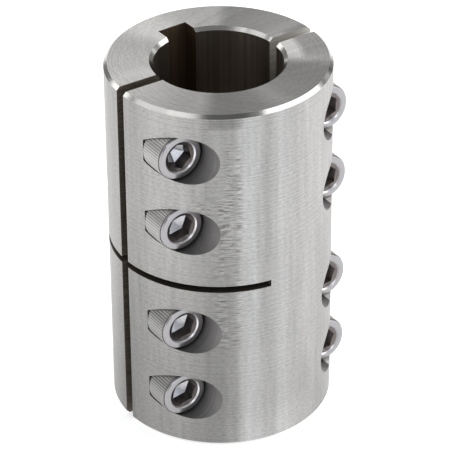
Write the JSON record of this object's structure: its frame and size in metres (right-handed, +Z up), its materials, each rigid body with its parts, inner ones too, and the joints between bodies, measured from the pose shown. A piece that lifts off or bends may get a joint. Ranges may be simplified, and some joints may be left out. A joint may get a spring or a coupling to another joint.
{
  "type": "two-piece clamp coupling",
  "caption": "Steel sleeve split lengthwise into two halves that cap screws clamp around two shaft ends, with a keyed bore and a cross slot at mid-length.",
  "frame": {"origin": "centre of the bore in the lower end face, which the coupling stands on", "axes": "+Z up along the bore; X lies in the saw cut between the halves, with the cross slot on the -X side; the screw heads point to -Y and the keyway to +Y"},
  "size_m": [0.0444, 0.0444, 0.0762],
  "materials": {
    "turned_steel": "turned stainless steel with fine feed lines round the wall and on the end faces",
    "screw_steel": "bright cold-formed stainless steel with a finely knurled head"
  },
  "bodies": {
    "rear_half": {"rear_half": "turned_steel"},
    "front_half": {"front_half": "turned_steel"},
    "clamp_screw_left_1": {"clamp_screw_left_1": "screw_steel"},
    "clamp_screw_left_2": {"clamp_screw_left_2": "screw_steel"},
    "clamp_screw_left_3": {"clamp_screw_left_3": "screw_steel"},
    "clamp_screw_left_4": {"clamp_screw_left_4": "screw_steel"},
    "clamp_screw_right_1": {"clamp_screw_right_1": "screw_steel"},
    "clamp_screw_right_2": {"clamp_screw_right_2": "screw_steel"},
    "clamp_screw_right_3": {"clamp_screw_right_3": "screw_steel"},
    "clamp_screw_right_4": {"clamp_screw_right_4": "screw_steel"}
  },
  "joints": [
    {"name": "clamp_slide", "type": "slide", "parent": "rear_half", "child": "front_half", "axis": [0, 1, 0], "range_m": [-0.0083, 0.0023]},
    {"name": "clamp_screw_left_1_turn", "type": "hinge", "parent": "front_half", "child": "clamp_screw_left_1", "pos_m": [-0.0168, -0.0065, 0.06592], "axis": [0, 1, 0], "range_deg": [-3295, 914]},
    {"name": "clamp_screw_left_2_turn", "type": "hinge", "parent": "front_half", "child": "clamp_screw_left_2", "pos_m": [-0.0168, -0.0065, 0.05008], "axis": [0, 1, 0], "range_deg": [-3295, 914]},
    {"name": "clamp_screw_left_3_turn", "type": "hinge", "parent": "front_half", "child": "clamp_screw_left_3", "pos_m": [-0.0168, -0.0065, 0.02703], "axis": [0, 1, 0], "range_deg": [-3295, 914]},
    {"name": "clamp_screw_left_4_turn", "type": "hinge", "parent": "front_half", "child": "clamp_screw_left_4", "pos_m": [-0.0168, -0.0065, 0.01117], "axis": [0, 1, 0], "range_deg": [-3295, 914]},
    {"name": "clamp_screw_right_1_turn", "type": "hinge", "parent": "front_half", "child": "clamp_screw_right_1", "pos_m": [0.0168, -0.0065, 0.06592], "axis": [0, 1, 0], "range_deg": [-3295, 914]},
    {"name": "clamp_screw_right_2_turn", "type": "hinge", "parent": "front_half", "child": "clamp_screw_right_2", "pos_m": [0.0168, -0.0065, 0.05008], "axis": [0, 1, 0], "range_deg": [-3295, 914]},
    {"name": "clamp_screw_right_3_turn", "type": "hinge", "parent": "front_half", "child": "clamp_screw_right_3", "pos_m": [0.0168, -0.0065, 0.02703], "axis": [0, 1, 0], "range_deg": [-3295, 914]},
    {"name": "clamp_screw_right_4_turn", "type": "hinge", "parent": "front_half", "child": "clamp_screw_right_4", "pos_m": [0.0168, -0.0065, 0.01117], "axis": [0, 1, 0], "range_deg": [-3295, 914]}
  ],
  "couplings": [
    {"joint": "clamp_screw_left_1_turn", "follows": "clamp_slide", "rad_per_m": 6926.3},
    {"joint": "clamp_screw_left_2_turn", "follows": "clamp_slide", "rad_per_m": 6926.3},
    {"joint": "clamp_screw_left_3_turn", "follows": "clamp_slide", "rad_per_m": 6926.3},
    {"joint": "clamp_screw_left_4_turn", "follows": "clamp_slide", "rad_per_m": 6926.3},
    {"joint": "clamp_screw_right_1_turn", "follows": "clamp_slide", "rad_per_m": 6926.3},
    {"joint": "clamp_screw_right_2_turn", "follows": "clamp_slide", "rad_per_m": 6926.3},
    {"joint": "clamp_screw_right_3_turn", "follows": "clamp_slide", "rad_per_m": 6926.3},
    {"joint": "clamp_screw_right_4_turn", "follows": "clamp_slide", "rad_per_m": 6926.3}
  ]
}
